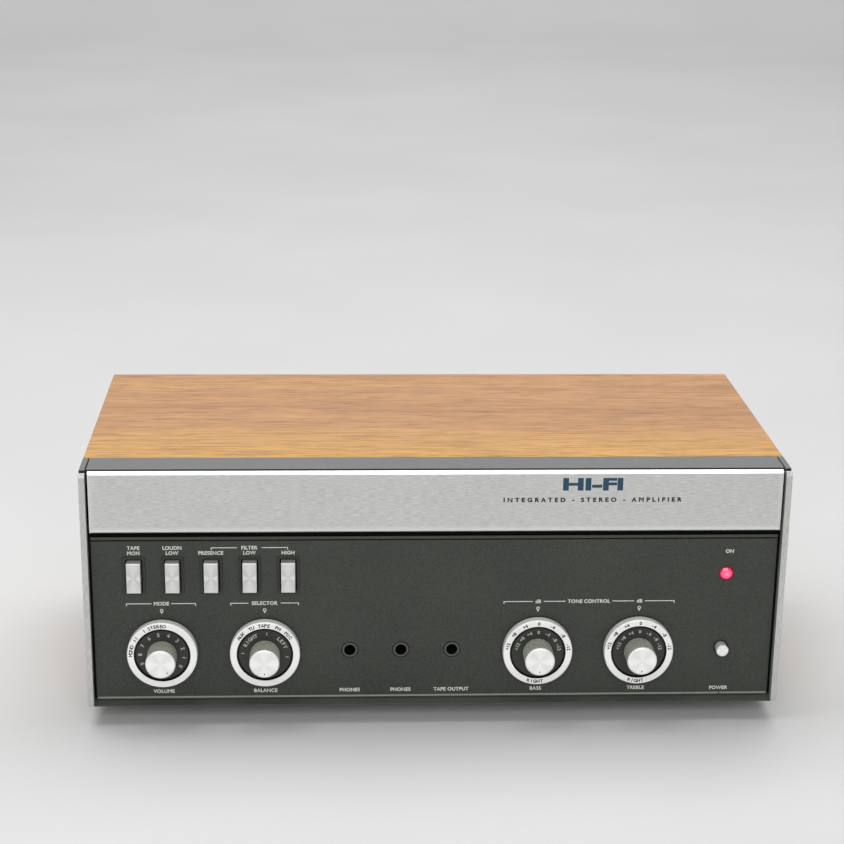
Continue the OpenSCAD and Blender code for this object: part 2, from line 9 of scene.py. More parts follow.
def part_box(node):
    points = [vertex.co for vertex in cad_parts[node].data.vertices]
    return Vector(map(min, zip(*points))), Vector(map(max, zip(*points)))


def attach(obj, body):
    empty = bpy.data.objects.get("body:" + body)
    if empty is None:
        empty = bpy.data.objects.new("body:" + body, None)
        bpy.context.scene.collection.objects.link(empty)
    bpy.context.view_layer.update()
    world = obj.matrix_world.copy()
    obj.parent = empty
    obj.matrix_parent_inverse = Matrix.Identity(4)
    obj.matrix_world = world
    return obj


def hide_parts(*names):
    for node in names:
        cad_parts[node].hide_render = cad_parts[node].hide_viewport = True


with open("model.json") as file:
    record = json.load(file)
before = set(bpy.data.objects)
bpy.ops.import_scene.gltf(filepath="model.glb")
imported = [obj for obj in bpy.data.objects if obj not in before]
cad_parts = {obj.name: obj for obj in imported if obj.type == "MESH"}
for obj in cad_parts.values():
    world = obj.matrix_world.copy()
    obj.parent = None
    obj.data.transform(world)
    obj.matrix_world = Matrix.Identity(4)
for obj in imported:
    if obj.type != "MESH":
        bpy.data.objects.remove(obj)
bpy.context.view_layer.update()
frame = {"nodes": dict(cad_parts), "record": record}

MM = 0.001
NODES = frame["nodes"]
KNOBS = ("volume", "balance", "bass", "treble")
KEYS = ("tape_monitor", "loudness", "presence", "low_filter", "high_filter")
JACKS = ("left_phones_jack", "right_phones_jack", "tape_output_jack")
# radius of the black painted into each jack's mouth, as painted shade
JACK_MOUTH = 3.6 * MM
BODY_OF = {node: body for body, nodes in frame["record"]["behaviour"]["bodies"].items() for node in nodes}

# ---- places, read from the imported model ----

case_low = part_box("left_board")[0].z  # underside of the case
panel_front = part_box("control_panel")[0].y
fascia_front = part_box("upper_fascia")[0].y
rear_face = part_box("rear_panel")[1].y


def middle(node):
    low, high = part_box(node)
    return (low + high) / 2


def front_of(node):
    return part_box(node)[0].y


jack_half = (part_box(JACKS[0])[1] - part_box(JACKS[0])[0]) / 2


# ---- node helpers ----


def srgb(r, g, b):
    """A colour given as it looks on a screen, from 0 to 255, as the linear colour that the shaders use."""
    linear = [(c / 255 / 12.92) if c <= 10 else ((c / 255 + 0.055) / 1.055) ** 2.4 for c in (r, g, b)]
    return (*linear, 1)


def scaled(colour, factor):
    """A colour made lighter or darker by a factor, with no channel over 1."""
    return tuple(min(1.0, c * factor) for c in colour[:3]) + (1,)


def grey(level):
    return (level, level, level, 1)


class Look:
    """A material whose nodes are added one at a time.

    A value that is a socket is linked, and any other value is set.
    """

    def __init__(self, name, **sockets):
        self.material = bpy.data.materials.new(name)
        self.material.use_nodes = True
        self.tree = self.material.node_tree
        self.shader = self.tree.nodes["Principled BSDF"]
        self.coords = self.tree.nodes.new("ShaderNodeTexCoord")
        for socket, value in sockets.items():
            self.set(socket.replace("_", " "), value)

    def put(self, socket, value):
        if isinstance(value, bpy.types.NodeSocket):
            self.tree.links.new(value, socket)
        elif value is not None:
            socket.default_value = value

    def set(self, name, value):
        self.put(self.shader.inputs[name], value)

    def node(self, kind, *values, **settings):
        made = self.tree.nodes.new("ShaderNode" + kind)
        for key, value in settings.items():
            setattr(made, key, value)
        for socket, value in zip(made.inputs, values):
            self.put(socket, value)
        return made

    def math(self, operation, *values):
        return self.node("Math", *values, operation=operation).outputs[0]

    def where(self, stretch=(1, 1, 1), space="Object"):
        """The object's own coordinates in metres, times stretch."""
        return self.node("VectorMath", self.coords.outputs[space], stretch, operation="MULTIPLY").outputs[0]

    def noise(self, vector, scale, detail=2.0, roughness=0.5, distortion=0.0):
        made = self.node("TexNoise")
        for key, value in {
            "Vector": vector,
            "Scale": scale,
            "Detail": detail,
            "Roughness": roughness,
            "Distortion": distortion,
        }.items():
            self.put(made.inputs[key], value)
        return made.outputs["Fac"]

    def ramp(self, value, *stops):
        """Colours or greys at places along value."""
        made = self.node("ValToRGB", value)
        elements = made.color_ramp.elements
        while len(elements) < len(stops):
            elements.new(0.5)
        for element, (place, colour) in zip(elements, stops):
            element.position = place
            element.color = colour if isinstance(colour, tuple) else grey(colour)
        return made.outputs[0]

    def spread(self, value, low, high):
        """value, from 0 to 1, moved to between low and high."""
        made = self.node("MapRange")
        for key, number in {"Value": value, "To Min": low, "To Max": high}.items():
            self.put(made.inputs[key], number)
        return made.outputs[0]

    def mix(self, factor, a, b):
        made = self.tree.nodes.new("ShaderNodeMix")
        made.data_type = "RGBA"
        for place, value in ((0, factor), (6, a), (7, b)):
            self.put(made.inputs[place], value)
        return made.outputs[2]

    def bump(self, height, depth):
        """Relief of that depth in metres."""
        made = self.node("Bump")
        made.inputs["Strength"].default_value = 1
        made.inputs["Distance"].default_value = depth
        self.put(made.inputs["Height"], height)
        self.set("Normal", made.outputs[0])

    def across(self, half_x=1.0, half_z=1.0):
        """Place on the object's front, from its middle. The halves say how far it reaches in X and Z."""
        place = self.coords.outputs["Generated"]
        centred = self.node("VectorMath", place, (0.5, 0.5, 0.5), operation="SUBTRACT").outputs[0]
        sizes = (2 * half_x, 0, 2 * half_z)
        return self.node("VectorMath", centred, sizes, operation="MULTIPLY").outputs[0]

    def radius(self, half_x=1.0, half_z=1.0):
        """Distance from the object's own axis along Y."""
        return self.node("VectorMath", self.across(half_x, half_z), operation="LENGTH").outputs["Value"]

    def angle(self, half_x=1.0, half_z=1.0):
        """Angle round the object's own axis along Y, in radians."""
        parts = self.node("SeparateXYZ", self.across(half_x, half_z))
        return self.math("ARCTAN2", parts.outputs["Z"], parts.outputs["X"])

    def facing_front(self):
        """1 where the surface faces the front, 0 where it faces up, down or to a side."""
        parts = self.node("SeparateXYZ", self.coords.outputs["Normal"])
        return self.ramp(self.math("ABSOLUTE", parts.outputs["Y"]), (0.45, 0.0), (0.85, 1.0))

    def spun(self):
        """Turns the anisotropy round the object's own axis along Y."""
        made = self.tree.nodes.new("ShaderNodeTangent")
        made.direction_type = "RADIAL"
        made.axis = "Y"
        self.set("Tangent", made.outputs[0])


# ---- materials ----


def wood(name, along):
    """Walnut veneer whose grain runs along the given axis, 0 for X or 2 for Z."""
    look = Look(name, Specular_IOR_Level=0.3)
    squeeze = [1.0, 1.0, 1.0]
    squeeze[along] = 0.03
    here = look.where(squeeze)
    wander = look.noise(look.where([s * 2 for s in squeeze]), 9, 2, 0.5)
    swayed = look.node("VectorMath", here, look.math("MULTIPLY", wander, 0.012), operation="ADD").outputs[0]
    bands = look.noise(swayed, 38, 3, 0.55)
    streaks = look.noise(swayed, 480, 4, 0.6)
    squeeze[along] = 0.035
    pores = look.noise(look.where(squeeze), 1400, 3, 0.65)
    base = look.ramp(
        bands,
        (0.28, srgb(172, 128, 90)),
        (0.42, srgb(188, 142, 103)),
        (0.56, srgb(194, 149, 104)),
        (0.72, srgb(202, 156, 96)),
    )
    # Lighter and more golden towards the front of each board.
    parts = look.node("SeparateXYZ", look.coords.outputs["Generated"])
    golden = look.ramp(parts.outputs["Y"], (0.0, 0.75), (0.4, 0.0))
    warmed = look.mix(golden, base, srgb(214, 166, 88))
    tinted = look.mix(look.ramp(streaks, (0.42, 0.0), (0.75, 0.65)), warmed, srgb(148, 110, 78))
    speckled = look.mix(look.ramp(pores, (0.5, 0.0), (0.66, 0.8)), tinted, srgb(108, 80, 58))
    look.set("Base Color", speckled)
    look.set("Roughness", look.spread(streaks, 0.42, 0.6))
    relief = look.math("ADD", look.math("MULTIPLY", pores, -0.6), look.math("MULTIPLY", streaks, -0.4))
    look.bump(relief, 0.05 * MM)
    return look.material


def enamel(name, colour, roughness=0.42, fleck=0.04, shaded_front=False):
    """Sprayed paint: a fine orange-peel surface with a slight uneven tone. When the last argument is set,
    faces that look to the front are coloured black, as painted shade in the gaps behind the trims.
    """
    look = Look(name, Specular_IOR_Level=0.45)
    grain = look.noise(look.where(), 1500, 3, 0.65)
    cloud = look.noise(look.where(), 18, 3, 0.55)
    tone = look.math("ADD", look.math("MULTIPLY", grain, 0.85), look.math("MULTIPLY", cloud, 0.15))
    paint = look.ramp(tone, (0.35, scaled(colour, 1 - fleck * 4)), (0.65, scaled(colour, 1 + fleck * 4)))
    # Painted shade: front-facing faces of the band and cheeks go black for the shade in the gaps behind the
    # trims and under the band's edge.
    look.set("Base Color", look.mix(look.facing_front(), paint, srgb(16, 16, 18)) if shaded_front else paint)
    look.set("Roughness", look.spread(cloud, roughness - 0.06, roughness + 0.08))
    look.bump(grain, 0.01 * MM)
    return look.material


def brushed(name, tone=(0.78, 0.78, 0.78), roughness=0.3, along=0, metallic=1.0, edge_highlight=0.0):
    """Aluminium brushed along X or Z, with scratches of three lengths.

    The last argument is a painted highlight: how much lighter the lower edge and the bevels at the left and
    right ends are coloured.
    """
    look = Look(name, Anisotropic=0.5)
    squeeze = [1.0, 1.0, 1.0]
    squeeze[along] = 0.012
    fine = look.noise(look.where(squeeze), 4200, 2, 0.6)
    squeeze[along] = 0.08
    strokes = look.noise(look.where(squeeze), 2500, 3, 0.7)
    squeeze[along] = 0.3
    patches = look.noise(look.where(squeeze), 60, 2, 0.6)
    lines = look.math("ADD", look.math("MULTIPLY", fine, 0.2), look.math("MULTIPLY", strokes, 0.8))
    mottle = look.math("ADD", look.math("MULTIPLY", lines, 0.94), look.math("MULTIPLY", patches, 0.06))
    place = look.node("SeparateXYZ", look.coords.outputs["Generated"])
    off_middle = look.math("ABSOLUTE", look.math("SUBTRACT", place.outputs["X"], 0.5))
    # Painted highlight: the lower edge and the end bevels are coloured near white and made less metallic.
    ends = look.ramp(off_middle, (0.496, 0.0), (0.4966, edge_highlight))
    painted_edge_light = look.math("MAXIMUM", look.ramp(place.outputs["Z"], (0.0, edge_highlight * 0.8), (0.11, 0.0)), ends)
    surface = look.ramp(mottle, (0.36, scaled(tone, 0.72)), (0.64, scaled(tone, 1.1)))
    look.set("Base Color", look.mix(painted_edge_light, surface, (0.98, 0.98, 1.0, 1)))
    look.set("Metallic", look.math("SUBTRACT", metallic, look.math("MULTIPLY", ends, 0.8)))
    look.set("Roughness", look.spread(lines, roughness - 0.06, roughness + 0.1))
    look.bump(lines, 0.012 * MM)
    return look.material


def turned(name, tone, side_tone, roughness, rings, half, sheen, bore, metal):
    """Metal faced on a lathe: rings of fine grooves and a winged sheen painted into the face's colour,
    satin on the sides.

    Everything nearer to the axis than bore is coloured black, and so is the wall of the bore, as painted
    shade in the gap round the skirt. A lower metal is for a finely blasted face, which scatters more light.
    """
    look = Look(name, Anisotropic=0.6)
    look.spun()
    reach = look.radius(*half)
    track = look.node("TexNoise", noise_dimensions="1D")
    look.put(track.inputs["W"], look.math("MULTIPLY", reach, float(rings)))
    track.inputs["Scale"].default_value = 1.6
    track.inputs["Detail"].default_value = 3
    groove = track.outputs["Fac"]
    # Painted highlight: a bow-tie of light and dark round the axis, with random radial streaks, mixed into
    # the face's colour with the grooves.
    spokes = look.node("TexNoise", noise_dimensions="1D")
    look.put(spokes.inputs["W"], look.math("MULTIPLY", look.angle(*half), 5.0))
    bowtie_wave = look.math("COSINE", look.math("MULTIPLY", look.angle(*half), 2.0))
    painted_bowtie = look.spread(look.math("MULTIPLY", bowtie_wave, bowtie_wave), 0.25, 0.75)
    glow = look.math("ADD", painted_bowtie, spokes.outputs["Fac"])
    front = look.facing_front()
    shade = look.math("ADD", look.math("MULTIPLY", groove, 0.4), look.math("MULTIPLY", glow, 0.45))
    # sheen sets how dark the painted highlight and the grooves go.
    dark, light = tone * (1 - 2 * sheen), tone
    face = look.ramp(shade, (0.3, (dark, dark, dark * 0.99, 1)), (0.75, (light, light, light * 0.985, 1)))
    fleck = look.noise(look.where(), 2400, 2, 0.6)
    side = look.ramp(
        fleck,
        (0.3, (side_tone * 0.8, side_tone * 0.81, side_tone * 0.75, 1)),
        (0.7, (side_tone, side_tone, side_tone * 0.95, 1)),
    )
    # Painted shade: black for the bore wall and the ring's inner edge, where shade falls in the gap round
    # the skirt.
    black = (0.012, 0.012, 0.011, 1)
    side_with_bore_shade = look.mix(look.math("LESS_THAN", reach, bore + 0.04), side, black)
    bore_shade = look.math("LESS_THAN", reach, bore)
    look.set("Base Color", look.mix(bore_shade, look.mix(front, side_with_bore_shade, face), black))
    look.set("Metallic", look.spread(front, 0.15, metal))
    base_roughness = look.spread(front, 0.55, roughness)
    look.set("Roughness", look.math("ADD", base_roughness, look.spread(groove, -0.04, 0.06)))
    look.bump(groove, 0.01 * MM)
    return look.material


def moulded(name, colour, roughness=0.45, depth=0.02 * MM, scale=1800):
    """Moulded plastic or rubber with a fine spark-eroded grain and a slight wear sheen."""
    look = Look(name)
    grain = look.noise(look.where(), scale, 2, 0.6)
    wear = look.noise(look.where(), 60, 3, 0.6)
    light = tuple(min(1, c * 1.35 + 0.002) for c in colour[:3]) + (1,)
    look.set("Base Color", look.ramp(wear, (0.35, colour), (0.8, light)))
    look.set("Roughness", look.spread(wear, roughness + 0.06, roughness - 0.08))
    look.bump(grain, depth)
    return look.material


def plated(name, colour, roughness=0.3, spangle=90):
    """Zinc, nickel or raw steel: a clouded, lightly spangled metal."""
    look = Look(name, Metallic=1.0)
    cells = look.node("TexVoronoi")
    look.put(cells.inputs["Vector"], look.where())
    cells.inputs["Scale"].default_value = spangle
    tint = look.node("SeparateColor", cells.outputs["Color"]).outputs[0]
    cloud = look.noise(look.where(), 700, 3, 0.6)
    tone = look.math("ADD", look.math("MULTIPLY", tint, 0.4), look.math("MULTIPLY", cloud, 0.6))
    look.set("Base Color", look.ramp(tone, (0.2, scaled(colour, 0.75)), (0.8, colour)))
    look.set("Roughness", look.spread(tone, roughness - 0.08, roughness + 0.14))
    look.bump(cloud, 0.008 * MM)
    return look.material


def recessed(name, paint, lip_back):
    """The front chassis: painted on the lip that shows above the panel; behind the lip it is coloured
    black, as painted shade in the recesses.
    """
    look = Look(name)
    depth = look.node("SeparateXYZ", look.where()).outputs["Y"]
    # Painted shade: black and little specular behind the lip, for the shade in the recess under the fascia
    # and the gaps at the sides.
    behind = look.math("GREATER_THAN", depth, lip_back)
    grain = look.noise(look.where(), 2600, 2, 0.6)
    shaded = look.ramp(grain, (0.3, scaled(paint, 0.85)), (0.7, paint))
    look.set("Base Color", look.mix(behind, shaded, srgb(12, 12, 12)))
    look.set("Specular IOR Level", look.spread(behind, 0.45, 0.1))
    look.set("Roughness", look.spread(grain, 0.5, 0.62))
    look.bump(grain, 0.01 * MM)
    return look.material


def jack_face(name, half_x, half_z, mouth):
    """A jack's bushing: a worn grey rim round a mouth of that radius coloured black, as painted shade in
    the hole.
    """
    look = Look(name)
    grain = look.noise(look.where(), 1800, 2, 0.6)
    # Painted shade: the mouth and the inner part of its chamfer are coloured black.
    mouth_shade = look.math("LESS_THAN", look.radius(half_x, half_z), mouth)
    rim = look.ramp(grain, (0.3, srgb(74, 77, 72)), (0.7, srgb(92, 95, 88)))
    look.set("Base Color", look.mix(mouth_shade, rim, srgb(14, 14, 14)))
    look.set("Roughness", look.spread(grain, 0.4, 0.55))
    look.bump(grain, 0.01 * MM)
    return look.material


def ink(name, colour):
    """Screen-printed ink, a little uneven."""
    look = Look(name, Specular_IOR_Level=0.3)
    patch = look.noise(look.where(), 1500, 2, 0.5)
    look.set("Base Color", look.ramp(patch, (0.35, scaled(colour, 0.8)), (0.6, colour)))
    look.set("Roughness", look.spread(patch, 0.45, 0.65))
    look.bump(patch, 0.006 * MM)
    return look.material


def lens():
    """The lit pilot lens: brightest in its middle, deep red at its rim."""
    look = Look("red_lens_lit", Roughness=0.12, Coat_Weight=0.6, Coat_Roughness=0.05)
    reach = look.radius()
    grain = look.noise(look.where(), 1400, 1, 0.5)
    blur = look.math("ADD", reach, look.math("MULTIPLY", grain, 0.06))
    glow = look.ramp(
        blur,
        (0.0, srgb(255, 128, 168)),
        (0.45, srgb(255, 92, 140)),
        (0.8, srgb(244, 58, 106)),
        (1.0, srgb(120, 14, 36)),
    )
    look.set("Base Color", look.mix(0.5, glow, srgb(150, 10, 30)))
    look.set("Emission Color", glow)
    look.set("Emission Strength", 0.85)
    return look.material


LOOKS = {
    "walnut_top": wood("walnut_top", 0),
    "walnut_side": wood("walnut_side", 2),
    "grey_paint": enamel("grey_enamel_front_shade", srgb(107, 110, 109), 0.5, shaded_front=True),
    "panel_paint": enamel("panel_paint", srgb(52, 56, 49), 0.4, 0.13),
    "rail_paint": enamel("rail_paint", srgb(70, 74, 68), 0.5),
    "recess": recessed("chassis_paint_recess_shade", srgb(62, 65, 58), panel_front + 0.3 * MM),
    "fascia": brushed("brushed_fascia_edge_highlight", (0.74, 0.745, 0.73), 0.36, edge_highlight=1.0),
    "trim": brushed("brushed_trim", (0.66, 0.665, 0.635), 0.4, 2, 0.8),
    "turned": turned("turned_face_painted_sheen", 1.0, 0.6, 0.42, 60, (1, 1), 0.12, 0.0, 0.3),
    "ring_metal": turned("turned_ring_painted_sheen_bore_shade", 1.0, 0.95, 0.44, 60, (1, 1), 0.03, 0.805, 0.3),
    "key_metal": turned("turned_key_painted_sheen", 0.8, 0.42, 0.36, 9, (1, 2.3), 0.22, 0.0, 0.7),
    "knurled": enamel("knurled_metal", srgb(154, 156, 143), 0.5, 0.16),
    "skirt": enamel("skirt_paint", srgb(46, 49, 43), 0.36),
    "black": moulded("black_plastic", srgb(20, 20, 20)),
    "bezel": enamel("bezel_plastic", srgb(44, 47, 41), 0.34),
    "jack": jack_face("jack_face", jack_half.x, jack_half.z, JACK_MOUTH),
    "lamp_ring": moulded("lamp_ring", srgb(84, 16, 34), 0.3),
    "zinc": plated("zinc_plate", (0.56, 0.57, 0.56, 1), 0.38),
    "nickel": plated("nickel_plate", (0.72, 0.7, 0.66, 1), 0.2, 900),
    "steel": plated("core_laminations", (0.2, 0.2, 0.21, 1), 0.5, 300),
    "winding": moulded("winding_tape", srgb(196, 160, 70), 0.4, 0.04 * MM, 600),
    "board": moulded("board_laminate", srgb(46, 78, 40), 0.35),
    "component": moulded("component_sleeve", srgb(42, 70, 120), 0.3),
    "heatsink": moulded("heatsink_black", srgb(34, 35, 37), 0.5),
    "wire": moulded("wire_vinyl", srgb(140, 40, 36), 0.4),
    "rubber": moulded("foot_rubber", srgb(30, 30, 30), 0.75, 0.05 * MM, 1200),
    "lens": lens(),
    "white_ink": ink("light_ink", srgb(222, 224, 214)),
    "line_ink": ink("line_ink", srgb(150, 152, 142)),
    "dial_ink": ink("dial_ink", srgb(188, 190, 180)),
    "black_ink": ink("black_ink", srgb(26, 26, 28)),
    "blue_ink": ink("blue_ink", srgb(42, 76, 98)),
}

WEARS = {
    "walnut_top": ["top_board"],
    "walnut_side": ["left_board", "right_board"],
    "grey_paint": ["top_band", "left_cheek", "right_cheek"],
    "panel_paint": ["control_panel"],
    "rail_paint": ["bottom_rail"],
    "recess": ["front_chassis"],
    "fascia": ["upper_fascia"],
    "trim": ["left_trim", "right_trim"],
    "turned": [k + "_knob" for k in KNOBS] + ["power_button"],
    "ring_metal": [k + "_ring" for k in KNOBS],
    "key_metal": [k + "_key" for k in KEYS],
    "skirt": [k + "_skirt" for k in KNOBS],
    "bezel": ["key_bezels"],
    "black": ["power_bezel", "panel_nuts", "key_switches", "power_switch"]
    + ["speaker_sockets", "mains_inlet"],
    "jack": JACKS,
    "lamp_ring": ["pilot_holder"],
    "zinc": ["bottom_plate", "rear_panel", "control_pots"],
    "nickel": [k + "_shaft" for k in KNOBS] + ["input_sockets", "case_screws", "output_transistors"],
    "steel": ["transformer_core"],
    "winding": ["transformer_winding"],
    "board": ["amplifier_board"],
    "component": ["board_components", "reservoir_capacitors"],
    "heatsink": ["heatsink"],
    "wire": ["wiring_loom"],
    "rubber": ["feet"],
    "lens": ["pilot_lens"],
}

for look_name, nodes in WEARS.items():
    for node in nodes:
        slots = NODES[node].data.materials
        slots.clear()
        slots.append(LOOKS[look_name])


def soften(node, width, segments=2):
    """Rounds a CAD node's edges with modifiers, which leave its own mesh as it is."""
    piece = NODES[node]
    weld = piece.modifiers.new("weld", "WELD")
    weld.merge_threshold = 0.002 * MM
    bevel = piece.modifiers.new("bevel", "BEVEL")
    bevel.width = width
    bevel.segments = segments
    bevel.limit_method = "ANGLE"
    bevel.angle_limit = math.radians(32)
    bevel.use_clamp_overlap = True
    shade = piece.modifiers.new("shade", "WEIGHTED_NORMAL")
    shade.weight = 80


for node, width in {
    "top_board": 0.5,
    "left_board": 0.5,
    "right_board": 0.5,
    "top_band": 0.5,
    "left_cheek": 0.4,
    "right_cheek": 0.4,
    "left_trim": 0.15,
    "right_trim": 0.15,
    "control_panel": 0.12,
    "key_bezels": 0.25,
    "power_bezel": 0.12,
    "pilot_holder": 0.12,
    "mains_inlet": 0.4,
    "feet": 0.5,
}.items():
    soften(node, width * MM)
for key in KEYS:
    soften(key + "_key", 0.55 * MM, 3)
for knob in KNOBS:
    soften(knob + "_ring", 0.2 * MM)

# ---- pieces ----


def piece(name, mesh, body, slot, *looks):
    """A finished mesh as a piece that rides on a body. The looks follow the order of its material slots."""
    for look_name in looks:
        mesh.materials.append(LOOKS[look_name])
    made = bpy.data.objects.new(name, mesh)
    bpy.context.scene.collection.objects.link(made)
    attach(made, body)
    return made


RIB_COUNT = 72
RIB_DEPTH = 0.16 * MM
RIB_STEPS = (0.0, 0.0, 1.0, 1.0)  # one rib: two points on its crest and two in its groove


def ribbed_cap(knob):
    """The inner knob: a ribbed side behind a plain collar, and a slightly dished face."""
    node = knob + "_knob"
    low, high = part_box(node)
    centre = middle(node)
    r = (high.x - low.x) / 2
    front, back = low.y, high.y
    # radius, depth behind the front, and how deep the ribs are there
    profile = [
        (r - 6.2 * MM, 0.16 * MM, 0),
        (r - 2.2 * MM, 0.12 * MM, 0),
        (r - 1.1 * MM, 0.0, 0),
        (r - 0.75 * MM, 0.05 * MM, 0),
        (r - 0.1 * MM, 0.7 * MM, 0),
        (r, 0.85 * MM, 0),
        (r, 1.15 * MM, 0),
        (r - 0.3 * MM, 1.3 * MM, 0),
        (r - 0.3 * MM, 1.6 * MM, 0),
        (r, 1.75 * MM, 1),
        (r, back - front - 1.0 * MM, 1),
        (r, back - front - 0.8 * MM, 0),
        (r, back - front, 0),
    ]
    count = RIB_COUNT * len(RIB_STEPS)
    bm = bmesh.new()
    rows = []
    for radius, depth, ribbed in profile:
        row = []
        for i in range(count):
            turn = 2 * math.pi * i / count
            reach = radius - ribbed * RIB_DEPTH * RIB_STEPS[i % len(RIB_STEPS)]
            x, z = centre.x + reach * math.sin(turn), centre.z + reach * math.cos(turn)
            row.append(bm.verts.new((x, front + depth, z)))
        rows.append(row)
    for near, far in zip(rows, rows[1:]):
        for i in range(count):
            j = (i + 1) % count
            bm.faces.new((near[i], near[j], far[j], far[i]))
    tip = bm.verts.new((centre.x, front + 0.18 * MM, centre.z))
    base = bm.verts.new((centre.x, back, centre.z))
    for i in range(count):
        j = (i + 1) % count
        bm.faces.new((tip, rows[0][j], rows[0][i]))
        bm.faces.new((base, rows[-1][i], rows[-1][j]))
    bmesh.ops.recalc_face_normals(bm, faces=bm.faces)
    for face in bm.faces:
        depth = face.calc_center_median().y - front
        face.material_index = 1 if depth > 0.75 * MM else 0
        face.smooth = depth < 1.2 * MM
    mesh = bpy.data.meshes.new(node + "_ribbed")
    bm.to_mesh(mesh)
    bm.free()
    made = piece(node + "_ribbed", mesh, BODY_OF[node], "turned_aluminium", "turned", "knurled")
    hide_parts(node)


for knob in KNOBS:
    ribbed_cap(knob)

# ---- lettering ----

INK = 0.03 * MM  # how far the printing stands off its surface
LABEL_CAP = 2.1 * MM
LABEL_WEIGHT = 0.034  # how much the strokes are thickened, as a part of the letter size
FRONT = Matrix.Rotation(math.radians(90), 4, "X")  # lettering drawn in X and Y, turned to face the front
REAR = Matrix.Rotation(math.radians(180), 4, "Z") @ FRONT


def flat_text(text, spacing=1.0):
    """Lettering as a flat mesh in X and Y, at size 1."""
    curve = bpy.data.curves.new("lettering", "FONT")
    curve.body = text
    curve.size = 1
    curve.space_character = spacing
    curve.resolution_u = 4
    holder = bpy.data.objects.new("lettering", curve)
    mesh = bpy.data.meshes.new_from_object(holder)
    bpy.data.objects.remove(holder)
    bpy.data.curves.remove(curve)
    return mesh


def outward(edge, vert):
    """The direction in X and Y in which an edge of a flat mesh looks away from its face."""
    along = (edge.other_vert(vert).co - vert.co).normalized()
    away = Vector((along.y, -along.x, 0))
    return -away if (edge.link_faces[0].calc_center_median() - vert.co).dot(away) > 0 else away


def thicken(mesh, weight):
    """Moves the outline of a flat mesh outwards, with limited mitres."""
    smallest, longest_mitre = 0.004, 2.0
    bm = bmesh.new()
    bm.from_mesh(mesh)
    bmesh.ops.remove_doubles(bm, verts=bm.verts, dist=smallest)
    moves = []
    for vert in bm.verts:
        rim = [edge for edge in vert.link_edges if edge.is_boundary]
        if len(rim) == 2:
            a, b = (outward(edge, vert) for edge in rim)
            stretch = min(longest_mitre, 2 / max(1 + a.dot(b), 0.1)) / 2
            moves.append((vert, (a + b) * weight * stretch))
    for vert, move in moves:
        vert.co += move
    bm.to_mesh(mesh)
    bm.free()


def letters(text, cap, width=None, spacing=1.0, weight=0.0):
    """Flat lettering, facing +Z, centred on its middle. cap is the height of a capital."""
    mesh = flat_text(text, spacing)
    thicken(mesh, weight)
    xs = [v.co.x for v in mesh.vertices]
    up = cap / CAPITAL
    across = up if width is None else width / (max(xs) - min(xs))
    shift = Matrix.Translation((-(max(xs) + min(xs)) / 2, -CAPITAL / 2, 0))
    mesh.transform(Matrix.Diagonal((across, up, 1, 1)) @ shift)
    return mesh


def capital_height():
    """Height of a capital letter at size 1."""
    mesh = flat_text("H")
    ys = [v.co.y for v in mesh.vertices]
    bpy.data.meshes.remove(mesh)
    return max(ys) - min(ys)


CAPITAL = capital_height()


